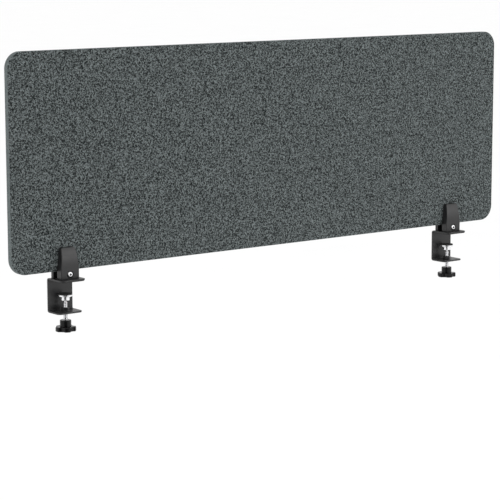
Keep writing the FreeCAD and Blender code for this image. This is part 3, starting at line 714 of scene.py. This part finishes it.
def clamp_screw(side):
    """Upright screw: plain foot, thread, thin neck and a ball on top."""
    lo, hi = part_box(side + "_clamp_screw")
    rod = Rod(lo, hi, axis=(0, 0, 1), across=(1, 0, 0), segments=48)
    radius = (hi.x - lo.x) / 2 - 0.00003
    foot, top = lo.z, hi.z
    foot_bevel = 0.0008
    ball_radius, neck = 0.0032, 0.0021
    ball = top - ball_radius
    shoulder = ball - 0.0060
    rod.ring(foot, radius - foot_bevel)
    rod.ring(foot + foot_bevel, radius)
    rod.thread(
        foot + 0.0140, shoulder, crest=radius, limit=radius,
        pitch=0.00125, depth=0.00075, run_in=0.0020, taper=0.0010,
    )
    # fillet and neck: height above the shoulder, extra radius over the neck
    for above, extra in (
        (0.0, 0.00045), (0.00010, 0.00022), (0.00028, 0.00006), (0.00060, 0.0), (0.00200, 0.0),
    ):
        rod.ring(shoulder + above, neck + extra)
    neck_angle = -math.acos(neck / ball_radius)
    for angle in np.linspace(neck_angle, math.pi / 2 - 0.12, 14):
        rod.ring(ball + ball_radius * math.sin(angle), ball_radius * math.cos(angle))
    verts, faces = rod.solid(foot, top)
    screw = make_object(side + "_threaded_clamp_screw", verts, faces, sharp_angle=50)
    adopt(screw, side + "_clamp_screw")


def jaw_screw(side):
    """Socket-head screw pointing back (+Y), its domed head at the front."""
    lo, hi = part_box(side + "_jaw_screw")
    rod = Rod(lo, hi, axis=(0, 1, 0), across=(0, 0, 1), segments=72)
    front, end = lo.y, hi.y
    head_radius, shank = (hi.x - lo.x) / 2, 0.003
    under = front + 0.0033  # underside of the head
    socket = rod.hexagon(flats=0.004)
    # socket floor, walls and mouth: depth behind the front, radii
    socket_rings = (
        (0.00235, 0.0009), (0.00212, 0.0016), (0.00210, socket * 0.985),
        (0.00195, socket), (0.00022, socket),
    )
    for depth, radii in socket_rings:
        rod.ring(front + depth, radii)
    rod.ring(front, socket + 0.00016)
    rod.ring(front, 0.00275)
    face_radius, dome_depth = 0.00294, 0.00255
    for angle in np.linspace(0, math.pi / 2, 13):
        rod.ring(
            front + dome_depth * (1 - math.cos(angle)),
            face_radius + (head_radius - face_radius) * math.sin(angle),
        )
    head_bevel, fillet = 0.00012, 0.0003
    rod.ring(under - head_bevel, head_radius)
    rod.ring(under, head_radius - head_bevel)
    rod.ring(under, shank + fillet)
    rod.ring(under + fillet, shank)
    rod.thread(
        under + 0.0012, end, crest=shank - 0.00002, limit=shank,
        pitch=0.001, depth=0.00058, run_in=0.0015, taper=0.0008,
    )
    verts, faces = rod.solid(front + 0.0026, end)
    screw = make_object(side + "_threaded_jaw_screw", verts, faces, sharp_angle=35)
    # marks the socket's rings and the centre of its floor, which the zinc material paints near
    # black as shade
    painted_socket_shade = np.zeros(len(verts), np.float32)
    painted_socket_shade[: len(socket_rings) * rod.segments] = 1.0
    painted_socket_shade[-2] = 1.0
    screw.data.attributes.new("painted_socket_shade", "FLOAT", "POINT").data.foreach_set("value", painted_socket_shade)
    adopt(screw, side + "_jaw_screw")


# weld bead's unevenness round the nut: height, waves per turn, phase
BEAD_WAVES = ((0.00011, 23, 0.0), (0.00008, 37, 1.1), (0.00006, 11, 0.4))


def weld_nut(side):
    """Hexagon nut with bevelled corners and a bead of weld round its foot."""
    lo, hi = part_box(side + "_weld_nut")
    rod = Rod(lo, hi, axis=(0, 0, 1), across=(1, 0, 0), segments=96)
    size_x, size_y = hi.x - lo.x, hi.y - lo.y
    flats = min(size_x, size_y)
    # the box's longer side runs from corner to corner
    twist = 0 if size_x > size_y else rod.segments // 12
    hexagon = np.roll(rod.hexagon(flats), twist)
    soft = 0.6 * hexagon + 0.4 * hexagon.mean()
    bead = sum(high * np.sin(waves * rod.angle + phase) for high, waves, phase in BEAD_WAVES)
    bottom, top = lo.z, hi.z
    bore, bore_bevel = 0.00405, 0.0005
    rod.ring(bottom, bore)
    # weld: height, outline, spread beyond it, share of the bead's unevenness
    for above, outline, spread, share in (
        (0.0, soft, 0.0012, 1.0),
        (0.00035, soft, 0.00105, 1.0),
        (0.0007, hexagon, 0.00062, 0.8),
        (0.0010, hexagon, 0.00022, 0.3),
        (0.0012, hexagon, 0.0, 0.0),
    ):
        rod.ring(bottom + above, outline + spread + bead * share)
    # a 30 degree cone trims the upper corners; 1.732 is its run over its drop
    for s in np.linspace(top - 0.0013, top, 8):
        rod.ring(s, np.minimum(hexagon, flats / 2 - 0.0002 + (top - s) * 1.732))
    rod.ring(top, bore + bore_bevel)
    rod.ring(top - bore_bevel, bore)
    verts = np.concatenate(rod.rings)
    nut = make_object(side + "_welded_nut", verts, rod.bands(closed=True), sharp_angle=32)
    adopt(nut, side + "_weld_nut")


for side in SIDES:
    clamp_screw(side)
    jaw_screw(side)
    weld_nut(side)


# ================================================================ camera, stage
def camera():
    """Long lens from the front left, looking slightly down."""
    yaw, pitch, roll = math.radians(38.146), math.radians(9.452), math.radians(-0.084)
    place = Vector((-2.4653, -3.0697, 0.6218))
    forward = Vector(
        (math.sin(yaw) * math.cos(pitch), math.cos(yaw) * math.cos(pitch), -math.sin(pitch))
    )
    level_right = Vector((math.cos(yaw), -math.sin(yaw), 0))
    level_up = level_right.cross(forward)
    right = math.cos(roll) * level_right + math.sin(roll) * level_up
    up = -math.sin(roll) * level_right + math.cos(roll) * level_up
    data = bpy.data.cameras.new("camera")
    data.sensor_width = 36.0
    data.lens = 145.5984
    data.shift_y = 0.04148
    data.clip_start = 0.05
    data.clip_end = 200.0
    obj = link("camera", data)
    rotation = Matrix((right, up, -forward)).transposed()
    obj.matrix_world = Matrix.Translation(place) @ rotation.to_4x4()
    SCENE.camera = obj


def sheet(name, corners):
    """A single four-cornered face."""
    mesh = bpy.data.meshes.new(name)
    mesh.from_pydata(corners, [], [(0, 1, 2, 3)])
    return link(name, mesh)


def floor():
    reach = 60.0
    signs = ((-1, -1), (1, -1), (1, 1), (-1, 1))
    obj = sheet("floor", [(x * reach, y * reach, FLOOR_Z) for x, y in signs])
    tree = Tree("floor_paint")
    cloud = tree.noise(tree.coords(), scale=3.0, detail=3.0)
    paint = tree.finish(
        Base_Color=tree.mix(cloud, under=(0.90, 0.90, 0.90), over=(0.93, 0.93, 0.93)),
        Roughness=0.9,
        Specular_IOR_Level=0.05,
    )
    obj.data.materials.append(paint)


def studio_world():
    """The camera sees plain white; everything else is lit a little more softly."""
    world = bpy.data.worlds.new("studio")
    SCENE.world = world
    world.use_nodes = True
    nodes, links = world.node_tree.nodes, world.node_tree.links
    background = nodes["Background"]
    background.inputs["Color"].default_value = (1, 1, 1, 1)
    ray = nodes.new("ShaderNodeLightPath")
    level = nodes.new("ShaderNodeMapRange")
    level.inputs["To Min"].default_value = 0.86
    level.inputs["To Max"].default_value = 1.02
    links.new(ray.outputs["Is Camera Ray"], level.inputs["Value"])
    links.new(level.outputs["Result"], background.inputs["Strength"])


def overhead():
    """One wide soft source from above."""
    data = bpy.data.lights.new("overhead", "SUN")
    data.energy = 0.75
    data.angle = math.radians(85)
    link("overhead", data).rotation_euler = (math.radians(14), math.radians(-10), 0)


def area(name, place, target, size, power):
    data = bpy.data.lights.new(name, "AREA")
    data.shape = "RECTANGLE"
    data.size, data.size_y = size
    data.energy = power
    obj = link(name, data)
    obj.location = place
    obj.rotation_mode = "QUATERNION"
    obj.rotation_quaternion = (Vector(target) - Vector(place)).to_track_quat("-Z", "Y")


def flag():
    """Black flag on the camera's side of the board, seen only in mirror reflections."""
    to_camera = Vector((-0.627, -0.779, 0.0))
    half = Vector((-to_camera.y, to_camera.x, 0.0)) * 1.05
    centre = to_camera * 2.1
    bottom, top = Vector((0, 0, FLOOR_Z)), Vector((0, 0, 0.55))
    corners = (
        centre + half + bottom, centre - half + bottom,
        centre - half + top, centre + half + top,
    )
    obj = sheet("flag", [tuple(corner) for corner in corners])
    cloth = Tree("flag_cloth").finish(
        Base_Color=(0.012, 0.012, 0.012), Roughness=1.0, Specular_IOR_Level=0.0
    )
    obj.data.materials.append(cloth)
    obj.visible_camera = False
    obj.visible_diffuse = False
    obj.visible_shadow = False
    obj.visible_transmission = False


camera()
floor()
studio_world()
overhead()
# a tall softbox to the right of the camera, and a small one off the board's left end
area("softbox", place=(2.0, -3.1, 0.95), target=(0, 0, 0.1), size=(2.4, 1.5), power=30)
area("edge_light", place=(-3.2, 0.6, 0.5), target=(-0.6, 0, 0.15), size=(1.5, 1.2), power=12)
flag()

SCENE.view_settings.view_transform = "Standard"
SCENE.view_settings.look = "None"
